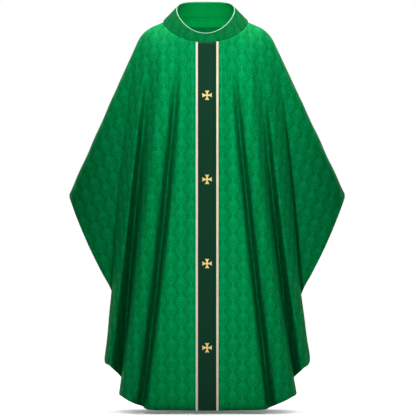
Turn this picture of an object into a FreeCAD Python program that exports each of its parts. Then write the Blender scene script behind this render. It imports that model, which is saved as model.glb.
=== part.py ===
"""Chasuble: an unlined Gothic Mass vestment with a stand collar, as it hangs when it is worn.

Millimetres. +Z is up and the front faces -Y. The origin is midway between the two neck
points, where the shoulder seams meet the collar.

Every piece of cloth is a thin closed solid. Its middle surface is a grid of points: columns
follow the folds from the neck or the shoulder seam down to the hem, rows run across.
"""
import FreeCAD, Part
import math
import os

Vector = FreeCAD.Vector

# Overall sizes
GARMENT_DROP = 1297.0        # neck points down to the hem at the centre front
SLEEVE_REACH = 463.0         # centre line out to the cuff corner
SLEEVE_DROP = 577.0          # neck points down to the cuff corner
BODY_DEPTH = 175.0           # the front folds' furthest reach forward at the hem
BACK_DEPTH_SHARE = 0.90      # the back falls a little flatter than the front
BACK_WIDTH_SHARE = 0.975     # and its folds stand a little closer together
BACK_HEM_RISE = 10.0         # its hem hangs slightly higher

# Shoulder, cuff and sleeve
SHOULDER_CORNER = (212.0, -30.0)   # where the seam turns from the shoulder down the arm: x, z
SHOULDER_ROUND = 42.0              # how far each side of that corner the seam bends
SHOULDER_FALL = 150.0              # drop over which the cloth rounds off the shoulder
SLEEVE_HALF_DEPTH = 48.0
SLEEVE_FALL = 80.0
CUFF_INNER = (0.687, -0.698)       # where the cuff edge meets the side fold: shares of reach and drop
CUFF_BULGE = 7.0
CUFF_CORNER_HEIGHT = 22.0
CUFF_TUCK = 0.90                   # depth at the cuff edge, as a share of the sleeve's own
SLEEVE_SWELL = 8.0                 # how far the innermost sleeve line swells sideways
NECK_ROUNDNESS = 0.8               # 0.5 leaves the top edge level, 1 leaves it at a slope
SEAM_ROUNDNESS = 0.5
ROUNDNESS_RATE = 1.6               # how soon past the neck point the second takes over

# Collar
NECK_HALF_WIDTH = 142.0
NECK_FRONT = (105.0, -70.0)        # depth forward and height of the neck seam, centre front
NECK_BACK = (82.0, 18.0)           # depth backward and height, centre back
RIM_HALF_WIDTH = 98.0
RIM_FRONT = (90.0, -39.0)
RIM_BACK = (64.0, 69.0)
RIM_SIDE_HEIGHT = 41.0
COLLAR_SHIFT = -5.0                # the collar sits slightly off the band's centre line
PIPING_RADIUS = 1.4

# Cloth
DAMASK = 1.0
COLLAR_CLOTH = 0.7
COLLAR_STIFFENER = 0.7
INTERLINING = 0.6
BAND_CLOTH = 0.6
GALLOON_CLOTH = 0.9
CROSS_RELIEF = 0.8
FACING_CLOTH = 0.6
LAYER_GAP = 0.2                    # between two layers that are sewn together
EDGE_GAP = 0.3                     # between two edges that are sewn together
COLLAR_SEAM_GAP = 1.5              # between the collar's layers and the neck edge, along the collar

# Orphrey, the centre band front and back
BAND_HALF_WIDTH = 30.0
GALLOON_WIDTH = 7.5
CROSS_COUNT = 4
CROSS_SIZE = 31.0
CROSS_TIP_WIDTH = 15.0
CROSS_WAIST_WIDTH = 4.0
CROSS_BELLY = (0.27, 0.58)         # where an arm's concave side passes: shares of its flare and reach
FIRST_CROSS_SHARE = 0.1897         # of GARMENT_DROP
CROSS_PITCH_SHARE = 0.2163
CENTRE_DEPTHS = (0.68, 0.86, 0.94) # shares of BODY_DEPTH under the band: chest, halfway, hem
BAND_CROWN = 2.0                   # how far the band's edges lie behind its middle

# Inside finishing
HEM_TURN = 25.0
NECK_FACING_WIDTH = 35.0
SEAM_TAPE_HALF_WIDTH = 9.0

# Fold lines from the centre panel outwards. A line starts at a share of the neck's half
# width (0 to 1) or of the shoulder seam's length (above 1, less 1), and panel_middle at a
# share of the way from the orphrey to panel_edge. Then come its shares of SLEEVE_REACH and
# of BODY_DEPTH halfway down, the same at the hem, the hem's share of GARMENT_DROP, and its
# depth on the chest.
RIGHT_FOLDS = (
    ("panel_middle", 0.30, 0.165, 0.87, 0.225, 0.95, 0.999, 0.68),
    ("panel_edge", 0.49, 0.262, 0.87, 0.400, 0.98, 0.997, 0.66),
    ("valley_1", 0.60, 0.298, 0.66, 0.416, 0.62, 0.993, 0.63),
    ("ridge_1", 0.80, 0.385, 0.86, 0.560, 0.92, 0.976, 0.61),
    ("neck_line", 1.00, 0.418, 0.78, 0.618, 0.80, 0.965, 0.56),
    ("fold_1_edge", 1.02, 0.440, 0.66, 0.646, 0.66, 0.958, 0.54),
    ("valley_2", 1.045, 0.454, 0.42, 0.618, 0.30, 0.925, 0.50),
    ("ridge_2", 1.086, 0.508, 0.62, 0.690, 0.62, 0.895, 0.42),
    ("fold_2_edge", 1.107, 0.548, 0.52, 0.742, 0.40, 0.876, 0.38),
    ("valley_3", 1.133, 0.562, 0.24, 0.672, 0.17, 0.722, 0.33),
)
LEFT_FOLDS = (
    ("panel_middle", 0.30, 0.172, 0.87, 0.235, 0.95, 0.999, 0.68),
    ("panel_edge", 0.49, 0.285, 0.90, 0.452, 1.00, 0.997, 0.66),
    ("valley_1", 0.60, 0.303, 0.64, 0.470, 0.58, 0.990, 0.62),
    ("ridge_1", 0.80, 0.406, 0.88, 0.572, 0.92, 0.976, 0.61),
    ("neck_line", 1.00, 0.426, 0.78, 0.612, 0.80, 0.965, 0.56),
    ("fold_1_edge", 1.02, 0.442, 0.64, 0.636, 0.64, 0.958, 0.54),
    ("valley_2", 1.045, 0.455, 0.40, 0.610, 0.28, 0.925, 0.50),
    ("ridge_2", 1.086, 0.552, 0.64, 0.702, 0.60, 0.887, 0.42),
    ("fold_2_edge", 1.107, 0.584, 0.52, 0.740, 0.40, 0.876, 0.38),
    ("valley_3", 1.133, 0.592, 0.24, 0.672, 0.17, 0.722, 0.33),
)
# The sleeve's own lines: share of the way out along the cuff edge, and of the seam past valley_3.
SLEEVE_LINES = ((0.03, 0.06), (0.22, 0.20), (0.48, 0.42), (0.74, 0.66), (0.91, 0.87), (1.0, 1.0))

# How finely the cloth is drawn: distances below the top edge, rows to the hem, and columns.
TAPE_ROWS = 3
FACING_ROWS = (0.23, 0.58, 1.0)    # shares of the facing that lies below the tape's width
TOP_ROWS = [SEAM_TAPE_HALF_WIDTH * i / TAPE_ROWS for i in range(TAPE_ROWS + 1)]
TOP_ROWS += [SEAM_TAPE_HALF_WIDTH + (NECK_FACING_WIDTH - SEAM_TAPE_HALF_WIDTH) * share for share in FACING_ROWS]
MIDDLE_ROWS = 20
HEM_ROWS = 4
SAMPLES_PER_FOLD = 5
COLLAR_COLUMNS = 97
STRIP_SPACING = 10.0
EDGE_STEP = 0.3              # facings and bands start this share of a step below the neck edge
TAPE_STOP = 6                # columns from the cuff corner where the shoulder tapes end
TOP_FADE = 0.12              # share of a column over which its top is drawn onto the top edge


def mix(a, b, share):
    return a + (b - a) * share


def three_point(start, middle, end, t):
    """The parabola through three values at t = 0, 0.5 and 1."""
    return (start * (2 * t - 1) * (t - 1)) + (middle * 4 * t * (1 - t)) + (end * t * (2 * t - 1))


# ---------------------------------------------------------------- the neck and the shoulder seam

def ring_point(angle, half_width, front, back, side_height):
    """A point on a neck ring. Angle 0 is the centre back and pi the centre front."""
    cosine = math.cos(angle)
    middle = (back[1] + front[1]) / 2
    height = middle + cosine * (back[1] - front[1]) / 2 + (side_height - middle) * math.sin(angle) ** 2
    depth = back[0] * cosine if cosine > 0 else front[0] * cosine
    return Vector(COLLAR_SHIFT - half_width * math.sin(angle), depth, height)


def neck_ring(angle):
    return ring_point(angle, NECK_HALF_WIDTH, NECK_FRONT, NECK_BACK, 0.0)


def rim_ring(angle):
    return ring_point(angle, RIM_HALF_WIDTH, RIM_FRONT, RIM_BACK, RIM_SIDE_HEIGHT)


def neck_edge(x, facing):
    """The panels' neck edge at a given x; facing is -1 for the front and 1 for the back."""
    sine = max(-1.0, min(1.0, (COLLAR_SHIFT - x) / NECK_HALF_WIDTH))
    angle = math.asin(sine)
    point = neck_ring(angle if facing > 0 else math.pi - angle)
    point.y += facing * EDGE_GAP / 2 if abs(sine) > 0.999 else 0.0
    return point


def seam_length():
    corner = Vector(SHOULDER_CORNER[0], 0, SHOULDER_CORNER[1])
    cuff = Vector(SLEEVE_REACH, 0, -SLEEVE_DROP)
    return corner.distanceToPoint(Vector(NECK_HALF_WIDTH, 0, 0)) + corner.distanceToPoint(cuff)


def shoulder_seam(share, side, facing):
    """The seam from the neck point (share 0) over the shoulder and down the arm (share 1)."""
    neck = Vector(side * NECK_HALF_WIDTH + COLLAR_SHIFT, 0, 0)
    corner = Vector(side * SHOULDER_CORNER[0] + COLLAR_SHIFT, 0, SHOULDER_CORNER[1])
    cuff = Vector(side * SLEEVE_REACH, 0, -SLEEVE_DROP)
    first = corner.distanceToPoint(neck)
    along = share * seam_length()
    enter = first - SHOULDER_ROUND
    leave = first + SHOULDER_ROUND
    upper = (corner - neck).normalize()
    lower = (cuff - corner).normalize()
    if along < enter:
        point = neck + upper * along
    elif along > leave:
        point = corner + (cuff - corner) * ((along - first) / (seam_length() - first))
    else:
        turn = (along - enter) / (leave - enter)
        start = corner - upper * SHOULDER_ROUND
        end = corner + lower * SHOULDER_ROUND
        point = start * (1 - turn) ** 2 + corner * (2 * turn * (1 - turn)) + end * turn ** 2
    point.y = facing * EDGE_GAP / 2
    return point


# ---------------------------------------------------------------- columns of a panel

class Column:
    """One line that the cloth follows from its top edge to its hem."""

    def __init__(self, top, middle, hem, chest_depth, fall, roundness, facing):
        self.top = top
        self.middle = middle
        self.hem = hem
        self.chest_depth = chest_depth
        self.fall = fall
        self.roundness = roundness
        self.facing = facing

    def point(self, t):
        x = three_point(self.top.x, self.middle[0], self.hem[0], t)
        z = mix(self.top.z, self.hem[2], t)
        envelope = three_point(self.chest_depth, self.middle[1], self.hem[1], t)
        rounding = min(1.0, (self.top.z - z) / self.fall)
        share = (1 - (1 - rounding) ** 2) ** self.roundness
        y = mix(self.top.y, self.facing * envelope, share)
        return Vector(x, y, z)


def fold_table(hand):
    """The folds on the right of the front and the left of the back, or the other two."""
    return LEFT_FOLDS if hand > 0 else RIGHT_FOLDS


def folds_reach(hand):
    """Where the last fold line starts along the top edge."""
    return fold_table(hand)[-1][1]


def fold_column(fold, side, facing):
    """A column of the body from one row of the fold tables."""
    name, start, middle_x, middle_y, hem_x, hem_y, hem_drop, chest = fold
    wide = SLEEVE_REACH * (BACK_WIDTH_SHARE if facing > 0 else 1.0)
    deep = BODY_DEPTH * (BACK_DEPTH_SHARE if facing > 0 else 1.0)
    rise = BACK_HEM_RISE if facing > 0 else 0.0
    top = top_edge(start, side, facing)
    middle = (side * wide * middle_x, deep * middle_y)
    hem = (side * wide * hem_x, deep * hem_y, rise - GARMENT_DROP * hem_drop)
    past_neck = max(0.0, start - 1.0) / (folds_reach(side * facing) - 1.0)
    roundness = mix(NECK_ROUNDNESS, SEAM_ROUNDNESS, min(1.0, ROUNDNESS_RATE * past_neck))
    return Column(top, middle, hem, deep * chest, SHOULDER_FALL, roundness, facing)


def centre_column(x, facing):
    """A straight column of the centre panel, under the orphrey."""
    deep = BODY_DEPTH * (BACK_DEPTH_SHARE if facing > 0 else 1.0)
    rise = BACK_HEM_RISE if facing > 0 else 0.0
    crown = BAND_CROWN * (x / BAND_HALF_WIDTH) ** 2
    chest, middle, hem = [deep * share - crown for share in CENTRE_DEPTHS]
    return Column(neck_edge(x, facing), (x, middle), (x, hem, rise - GARMENT_DROP), chest,
                  SHOULDER_FALL, NECK_ROUNDNESS, facing)


def sleeve_column(cuff_share, seam_share, last_fold_start, side, facing):
    """A column of the sleeve, from the seam over the arm down to the cuff edge."""
    top = shoulder_seam(mix(last_fold_start - 1.0, 1.0, seam_share), side, facing)
    bulge = CUFF_BULGE * math.sin(math.pi * cuff_share)
    hem_x = mix(CUFF_INNER[0] * SLEEVE_REACH, SLEEVE_REACH, cuff_share) + bulge
    hem_z = mix(CUFF_INNER[1] * GARMENT_DROP, -SLEEVE_DROP - CUFF_CORNER_HEIGHT, cuff_share) - bulge / 2
    length = top.z - hem_z
    fall = min(SLEEVE_FALL, 0.6 * length)
    depth = SLEEVE_HALF_DEPTH * fall / SLEEVE_FALL
    middle_x = (abs(top.x) + hem_x) / 2 + SLEEVE_SWELL * (1 - cuff_share)
    middle = (side * middle_x, depth)
    hem = (side * hem_x, depth * CUFF_TUCK, hem_z)
    return Column(top, middle, hem, depth, fall, SEAM_ROUNDNESS, facing)


def smooth_between(before, start, end, after, share):
    """Centripetal Catmull-Rom through four points, between the middle two."""
    knots = [0.0]
    for a, b in ((before, start), (start, end), (end, after)):
        knots.append(knots[-1] + max(math.sqrt(a.distanceToPoint(b)), 0.05))
    at = mix(knots[1], knots[2], share)

    def between(a, b, from_knot, to_knot):
        return a + (b - a) * ((at - from_knot) / (to_knot - from_knot))

    a1 = between(before, start, knots[0], knots[1])
    a2 = between(start, end, knots[1], knots[2])
    a3 = between(end, after, knots[2], knots[3])
    b1 = between(a1, a2, knots[0], knots[2])
    b2 = between(a2, a3, knots[1], knots[3])
    return between(b1, b2, knots[1], knots[2])


def half_columns(side, facing):
    """One half's columns as functions of t, from beside the band out to the cuff corner."""
    folds = [list(fold) for fold in fold_table(side * facing)]
    strip = strip_positions()[-1]
    strip_share = (strip - side * COLLAR_SHIFT) / NECK_HALF_WIDTH
    folds[0][1] = mix(strip_share, folds[1][1], folds[0][1])
    guides = [centre_column(side * (strip - STRIP_SPACING), facing), centre_column(side * strip, facing)]
    guides += [fold_column(fold, side, facing) for fold in folds]
    starts = [0.0, strip_share] + [fold[1] for fold in folds]
    for cuff, seam in SLEEVE_LINES:
        guides.append(sleeve_column(cuff, seam, folds[-1][1], side, facing))
        starts.append(mix(folds[-1][1], 2.0, seam))
    neck_index = 2 + [fold[0] for fold in folds].index("neck_line")
    columns = []
    neck_column = 0
    for index in range(1, len(guides) - 1):
        nearby = (guides[index - 1], guides[index], guides[index + 1],
                  guides[min(index + 2, len(guides) - 1)])
        if index == neck_index:
            neck_column = len(columns) - 1
        for step in range(1 if index == 1 else 0, SAMPLES_PER_FOLD):
            share = step / SAMPLES_PER_FOLD
            start = mix(starts[index], starts[index + 1], share)
            columns.append(between_column(nearby, share, top_edge(start, side, facing)))
    columns.append(guides[-1].point)
    return columns, neck_column + 1


def top_edge(start, side, facing):
    """A point of the top edge: a share of the neck's half width, or 1 plus one of the seam."""
    if start <= 1.0:
        return neck_edge(COLLAR_SHIFT + side * start * NECK_HALF_WIDTH, facing)
    return shoulder_seam(start - 1.0, side, facing)


def between_column(nearby, share, top):
    """A column between two guides that starts exactly on the top edge."""
    correction = top - smooth_between(*[guide.point(0.0) for guide in nearby], share)

    def point(t):
        fade = max(0.0, 1 - t / TOP_FADE) ** 2
        return smooth_between(*[guide.point(t) for guide in nearby], share) + correction * fade

    return point


def strip_positions():
    """Where the straight columns under the orphrey run, with one spare on each side."""
    reach = math.ceil((BAND_HALF_WIDTH + GALLOON_WIDTH) / STRIP_SPACING) + 1
    return [i * STRIP_SPACING for i in range(-reach, reach + 1)]


def panel_columns(facing):
    """A whole panel's columns, left cuff to right cuff, and the two at the neck points."""
    left, left_neck = half_columns(-1, facing)
    right, right_neck = half_columns(1, facing)
    strip = [centre_column(x, facing).point for x in strip_positions()]
    columns = list(reversed(left)) + strip + right
    return columns, len(left) - 1 - left_neck, len(left) + len(strip) + right_neck


# ---------------------------------------------------------------- grids and solids

def share_at(column, distance, from_hem=False):
    """The share t at which a column is a given distance from its top edge or its hem."""
    anchor = column(1.0 if from_hem else 0.0)
    low, high = 0.0, 1.0
    for _ in range(24):
        t = (low + high) / 2
        near = column(1 - t if from_hem else t).distanceToPoint(anchor) < distance
        low, high = (t, high) if near else (low, t)
    return 1 - low if from_hem else low


def grid_normals(grid, outward):
    """Unit normals of a grid; outward says which way they point at the grid's middle."""
    wide, tall = len(grid), len(grid[0])
    normals = []
    for i in range(wide):
        line = []
        for j in range(tall):
            across = grid[min(i + 1, wide - 1)][j] - grid[max(i - 1, 0)][j]
            down = grid[i][min(j + 1, tall - 1)] - grid[i][max(j - 1, 0)]
            line.append(across.cross(down).normalize())
        normals.append(line)
    if normals[wide // 2][tall // 2].dot(outward) < 0:
        normals = [[normal * -1 for normal in line] for line in normals]
    return normals


def offset_grid(grid, normals, distance):
    return [[p + n * distance for p, n in zip(line, line_normals)]
            for line, line_normals in zip(grid, normals)]


def clamped_knots(count):
    degree = min(3, count - 1)
    spans = count - degree
    return degree, [degree + 1] + [1] * (spans - 1) + [degree + 1], list(range(spans + 1))


def spline_surface(grid):
    """A clamped B-spline surface that has the grid as its poles."""
    u_degree, u_multiplicities, u_knots = clamped_knots(len(grid))
    v_degree, v_multiplicities, v_knots = clamped_knots(len(grid[0]))
    surface = Part.BSplineSurface()
    surface.buildFromPolesMultsKnots(grid, u_multiplicities, v_multiplicities, u_knots, v_knots,
                                     False, False, u_degree, v_degree)
    return surface


def closed_solid(surface_pairs):
    """A solid between inner and outer surfaces, given side by side from left to right."""
    faces = []
    for number, (inner, outer) in enumerate(surface_pairs):
        left, right, top, bottom = inner.bounds()
        faces += [inner.toShape(), outer.toShape()]
        for v in (top, bottom):
            faces.append(Part.makeRuledSurface(inner.vIso(v).toShape(), outer.vIso(v).toShape()))
        ends = [left] if number == 0 else []
        ends += [right] if number == len(surface_pairs) - 1 else []
        for u in ends:
            faces.append(Part.makeRuledSurface(inner.uIso(u).toShape(), outer.uIso(u).toShape()))
    shell = Part.Shell(faces)
    shell.sewShape()
    solid = Part.Solid(shell)
    if solid.Volume < 0:
        solid.reverse()
    return solid


def cloth_solid(grid, normals, low, high):
    """A closed solid between two offsets of a grid."""
    inner = spline_surface(offset_grid(grid, normals, low))
    outer = spline_surface(offset_grid(grid, normals, high))
    return closed_solid([(inner, outer)])


def write(name, shape):
    shape.exportStep("parts/" + name + ".step")
    print(f"{name:26s} solids {len(shape.Solids)} valid {shape.isValid()} volume {shape.Volume / 1000:.1f} cm3")


# ---------------------------------------------------------------- layers over a panel

class Panel:
    """The front or back panel, with the layers that are sewn to it.

    All of its layers are cut from offsets of one pole grid, so they stay parallel. In the
    grid's own units one column or row is one step, and the first two and last two rows share
    the first and last steps, as they do on any clamped cubic spline.
    """

    def __init__(self, name, facing):
        self.name = name
        self.facing = facing
        self.outward = Vector(0, facing, 0)
        self.columns, self.left_neck, self.right_neck = panel_columns(facing)
        self.grid = [self.column_points(i) for i in range(len(self.columns))]
        self.normals = grid_normals(self.grid, self.outward)
        for i, line in enumerate(self.normals):
            if not self.left_neck < i < self.right_neck:
                line[0].y = 0.0
                line[0].normalize()
        self.hem_step = len(self.grid[0]) - 3

    def hem_slope(self, i):
        """The sine of the angle between the hem and the column at column i."""
        last = len(self.columns) - 1
        edge = self.columns[min(i + 1, last)](1.0) - self.columns[max(i - 1, 0)](1.0)
        grain = self.columns[i](1.0) - self.columns[i](0.97)
        return edge.normalize().cross(grain.normalize()).Length

    def column_points(self, i):
        """One column of the grid, with rows at the widths of the facings and the hem turn."""
        column = self.columns[i]
        length = column(0.0).distanceToPoint(column(1.0))
        squeeze = min(1.0, 0.4 * length / TOP_ROWS[-1])
        shares = [share_at(column, distance * squeeze) for distance in TOP_ROWS]
        turn = min(HEM_TURN / max(self.hem_slope(i), 0.3), 0.45 * length)
        hem_start = share_at(column, turn, from_hem=True)
        shares += [mix(shares[-1], hem_start, row / MIDDLE_ROWS) for row in range(1, MIDDLE_ROWS)]
        shares += [mix(hem_start, 1.0, row / HEM_ROWS) for row in range(HEM_ROWS + 1)]
        return [column(t) for t in shares]

    def layer(self, patches, low, high, rows):
        """A solid between two offsets of the grid, cut to a range of rows.

        A patch is its first and last column in the grid, and how much of it is cut away at
        its left and right end, in steps.
        """
        pairs = []
        for start, end, cut_left, cut_right in patches:
            surfaces = []
            for distance in (low, high):
                poles = offset_grid(self.grid[start:end + 1], self.normals[start:end + 1], distance)
                surface = spline_surface(poles)
                left, right = surface.bounds()[:2]
                surface.segment(left + cut_left, right - cut_right, rows[0], rows[1])
                surfaces.append(surface)
            pairs.append(surfaces)
        return closed_solid(pairs)

    def sides_and_centre(self):
        last = len(self.grid) - 1
        return ((0, self.left_neck, 0, 0), self.centre(), (self.right_neck, last, 0, 0))

    def centre(self, from_x=None, to_x=None):
        """The patch between the two neck points, whole or cut to a range of x under the orphrey."""
        middle = len(self.columns) // 2
        left = right = 0
        if from_x is not None:
            left = middle - self.left_neck - 1 + from_x / STRIP_SPACING
        if to_x is not None:
            right = self.right_neck - middle - 1 - to_x / STRIP_SPACING
        return (self.left_neck, self.right_neck, left, right)

    def cloth(self):
        """The two cut pieces, which meet at a centre seam under the orphrey."""
        last = len(self.grid) - 1
        seam = EDGE_GAP / 2
        left = ((0, self.left_neck, 0, 0), self.centre(to_x=-seam))
        right = (self.centre(from_x=seam), (self.right_neck, last, 0, 0))
        return [self.layer(patches, -DAMASK / 2, DAMASK / 2, (0, self.hem_step)) for patches in (left, right)]

    def strip(self, from_x, to_x, low, thickness):
        """A vertical strip on the outside of the centre panel."""
        return self.layer([self.centre(from_x, to_x)], low, low + thickness, (EDGE_STEP, self.hem_step))

    def orphrey(self):
        """Interlining, band, two galloons and the crosses, from the panel outwards."""
        lining_low = DAMASK / 2 + LAYER_GAP
        band_low = lining_low + INTERLINING + LAYER_GAP
        edge = BAND_HALF_WIDTH
        far = edge + GALLOON_WIDTH
        solids = {
            "interlining": self.strip(-far, far, lining_low, INTERLINING),
            "band": self.strip(-edge, edge, band_low, BAND_CLOTH),
            "galloon_left": self.strip(-far, -edge - EDGE_GAP, band_low, GALLOON_CLOTH),
            "galloon_right": self.strip(edge + EDGE_GAP, far, band_low, GALLOON_CLOTH),
        }
        for number in range(CROSS_COUNT):
            drop = GARMENT_DROP * (FIRST_CROSS_SHARE + number * CROSS_PITCH_SHARE)
            solids[f"cross_{number + 1}"] = self.cross(drop, band_low + BAND_CLOTH + LAYER_GAP)
        return solids

    def cross(self, drop, height):
        """A flat cross that lies against the band at a given drop below the neck points."""
        column = centre_column(0.0, self.facing)
        length = column.top.z - column.hem[2]
        t = (column.top.z + drop) / length
        reach = CROSS_SIZE / 2 / length
        above, here, below = column.point(t - reach), column.point(t), column.point(t + reach)
        sag = here.distanceToLine(above, below - above)
        down = (below - above).normalize()
        normal = down.cross(Vector(1, 0, 0)).normalize()
        if normal.dot(self.outward) < 0:
            normal = normal * -1
        shape = cross_shape()
        shape.rotate(Vector(0, 0, 0), Vector(1, 0, 0), math.degrees(math.atan2(normal.z, -normal.y)) * -1)
        shape.translate(here + normal * (height + sag))
        return shape

    def hem_turn(self):
        """The hem allowance, folded up inside along the whole hem and cuff edge."""
        high = -DAMASK / 2 - LAYER_GAP
        rows = (self.hem_step - HEM_ROWS + 1, self.hem_step)
        return self.layer(self.sides_and_centre(), high - FACING_CLOTH, high, rows)

    def neck_facing(self):
        """A shaped facing inside the neck edge, between the two neck points."""
        high = -DAMASK / 2 - LAYER_GAP
        rows = (EDGE_STEP, len(TOP_ROWS) - 2)
        return self.layer([self.centre()], high - FACING_CLOTH, high, rows)


def cross_shape():
    """A cross pattee in the XZ plane, facing -Y, with concave arms that flare to square ends."""
    reach = CROSS_SIZE / 2
    tip = CROSS_TIP_WIDTH / 2
    waist = CROSS_WAIST_WIDTH / 2
    belly = Vector(mix(waist, tip, CROSS_BELLY[0]), 0, mix(waist, reach, CROSS_BELLY[1]))
    edges = []
    for quarter in range(4):
        turned = FreeCAD.Rotation(Vector(0, 1, 0), 90 * quarter)
        start = turned.multVec(Vector(-waist, 0, waist))
        outer_left = turned.multVec(Vector(-tip, 0, reach))
        outer_right = turned.multVec(Vector(tip, 0, reach))
        end = turned.multVec(Vector(waist, 0, waist))
        left_belly = turned.multVec(Vector(-belly.x, 0, belly.z))
        right_belly = turned.multVec(belly)
        edges.append(Part.Arc(start, left_belly, outer_left).toShape())
        edges.append(Part.LineSegment(outer_left, outer_right).toShape())
        edges.append(Part.Arc(outer_right, right_belly, end).toShape())
    face = Part.Face(Part.Wire(edges))
    return face.extrude(Vector(0, -CROSS_RELIEF, 0))


# ---------------------------------------------------------------- seam tapes and collar

def shoulder_tape(front, back, side):
    """A tape inside the shoulder and arm seam, half on the front panel and half on the back."""
    last = len(front.columns) - 1
    indices = range(front.left_neck - 1, TAPE_STOP, -1)
    if side > 0:
        indices = range(front.right_neck + 1, last - TAPE_STOP)
    half = range(1, TAPE_ROWS + 1)
    grid = [[back.grid[i][row] for row in reversed(half)] + [front.grid[i][row] for row in half]
            for i in indices]
    high = -DAMASK / 2 - 2 * LAYER_GAP
    return cloth_solid(grid, grid_normals(grid, Vector(side, 0, 0.5)), high - FACING_CLOTH, high)


def collar_layer(low, high):
    """One layer of the stand collar. Its two ends meet at the centre-back seam."""
    opening = EDGE_GAP / 2 / NECK_BACK[0]
    grid = []
    for i in range(COLLAR_COLUMNS):
        angle = mix(opening, 2 * math.pi - opening, i / (COLLAR_COLUMNS - 1))
        base, rim = neck_ring(angle), rim_ring(angle)
        slope = (rim - base).normalize()
        grid.append([mix(rim, base + slope * COLLAR_SEAM_GAP, k / 4) for k in range(5)])
    return cloth_solid(grid, grid_normals(grid, Vector(0, -1, 0)), low, high)


def piping():
    """The cord in a bias cover that finishes the collar's rim, joined at the centre back."""
    opening = EDGE_GAP / 2 / RIM_BACK[0]
    circles = []
    for i in range(COLLAR_COLUMNS):
        angle = mix(opening, 2 * math.pi - opening, i / (COLLAR_COLUMNS - 1))
        base, rim = neck_ring(angle), rim_ring(angle)
        lift = (rim - base).normalize() * (PIPING_RADIUS + 2 * EDGE_GAP)
        along = rim_ring(angle + 0.01) - rim_ring(angle - 0.01)
        circles.append(Part.Wire(Part.Circle(rim + lift, along, PIPING_RADIUS).toShape()))
    return Part.makeLoft(circles, True, False)


def build():
    os.makedirs("parts", exist_ok=True)
    front = Panel("front", -1)
    back = Panel("back", 1)
    for panel in (front, back):
        for half, solid in zip(("left", "right"), panel.cloth()):
            write(f"{panel.name}_panel_{half}", solid)
        for name, solid in panel.orphrey().items():
            write(f"{panel.name}_{name}", solid)
        write(panel.name + "_hem_turn", panel.hem_turn())
        write(panel.name + "_neck_facing", panel.neck_facing())
    write("left_shoulder_tape", shoulder_tape(front, back, -1))
    write("right_shoulder_tape", shoulder_tape(front, back, 1))
    half_stiffener = COLLAR_STIFFENER / 2
    cloth_low = half_stiffener + LAYER_GAP
    write("collar_stiffener", collar_layer(-half_stiffener, half_stiffener))
    write("collar_outer", collar_layer(cloth_low, cloth_low + COLLAR_CLOTH))
    write("collar_facing", collar_layer(-cloth_low - COLLAR_CLOTH, -cloth_low))
    write("collar_piping", piping())


build()
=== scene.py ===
"""Looks of a green damask chasuble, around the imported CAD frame. Metres, +Z up, front facing -Y."""
import math
from functools import partial, reduce

import bpy
import numpy as np
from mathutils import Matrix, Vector, noise


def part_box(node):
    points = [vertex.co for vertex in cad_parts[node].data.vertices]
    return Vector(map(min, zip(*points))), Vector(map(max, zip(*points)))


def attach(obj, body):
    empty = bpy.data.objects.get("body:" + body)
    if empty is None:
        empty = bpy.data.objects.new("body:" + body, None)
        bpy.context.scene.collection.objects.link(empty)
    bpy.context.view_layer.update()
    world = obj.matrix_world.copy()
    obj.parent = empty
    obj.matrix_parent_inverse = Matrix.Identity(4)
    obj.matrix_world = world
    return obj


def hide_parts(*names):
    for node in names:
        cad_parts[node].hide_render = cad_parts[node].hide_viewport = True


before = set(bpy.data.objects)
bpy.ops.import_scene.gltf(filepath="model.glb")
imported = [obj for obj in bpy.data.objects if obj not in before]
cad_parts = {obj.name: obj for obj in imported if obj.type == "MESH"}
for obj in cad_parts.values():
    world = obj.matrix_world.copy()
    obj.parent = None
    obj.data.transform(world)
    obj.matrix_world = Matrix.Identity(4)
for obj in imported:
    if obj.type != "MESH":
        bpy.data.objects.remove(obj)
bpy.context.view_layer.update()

# ---------------------------------------------------------------- sizes, from the frame where it has them

BAND_LOW, BAND_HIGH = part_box("front_band")
STRIP_LOW, STRIP_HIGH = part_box("front_interlining")

DAMASK = 0.001
LAYER_GAP = 0.0002
GARMENT_DROP = 1.297
SLEEVE_REACH = 0.463
SLEEVE_DROP = 0.577
BODY_DEPTH = 0.175
BACK_DEPTH_SHARE = 0.90
BACK_WIDTH_SHARE = 0.975
BACK_HEM_RISE = 0.010
SHOULDER_CORNER = (0.212, -0.030)
SHOULDER_ROUND = 0.042
SHOULDER_FALL = 0.150
SLEEVE_HALF_DEPTH = 0.048
SLEEVE_FALL = 0.080
CUFF_INNER = (0.318, -0.905)
CUFF_BULGE = 0.007
CUFF_CORNER_HEIGHT = 0.012
NECK_ROUNDNESS = 0.8
SEAM_ROUNDNESS = 0.5
NECK_HALF_WIDTH = 0.142
NECK_FRONT = (0.105, -0.070)
NECK_BACK = (0.082, 0.018)
RIM_HALF_WIDTH = 0.098
RIM_FRONT = (0.090, -0.039)
RIM_BACK = (0.064, 0.069)
RIM_SIDE_HEIGHT = 0.041
COLLAR_SHIFT = -0.005
SEAM_HALF_GAP = 0.00015

BAND_HALF_WIDTH = (BAND_HIGH.x - BAND_LOW.x) / 2
STRIP_HALF_WIDTH = (STRIP_HIGH.x - STRIP_LOW.x) / 2
PIPING_RADIUS = 0.0014
HEM_TURN = 0.025
STRIP_EDGE = 0.050           # the straight centre strip ends this far from the centre line
CENTRE_DEPTHS = (0.68, 0.86, 0.94)       # shares of the depth: on the chest, halfway down, at the hem
CENTRE_CROWN = 0.002         # how much the band's edges lie behind its middle
CURVE_SAMPLES = 400
COARSE_WRINKLE = 0.0015
FINE_WRINKLE = 0.0003
SLEEVE_DRAG = 0.0008
DRAG_PITCH = 0.052
FOLDS_OPEN = (0.01, 0.19)    # shares of a line between which the folds open, below the chest
TOP_FADE = 0.12              # share of a line within which it is drawn to its place on the top edge
ROUNDNESS_RATE = 1.6         # how fast the neck's roundness goes over into the seam's
SLEEVE_FALL_SHARE = 0.6
SLEEVE_SWING = 0.008
CUFF_DEPTH_SHARE = 0.9

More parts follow.
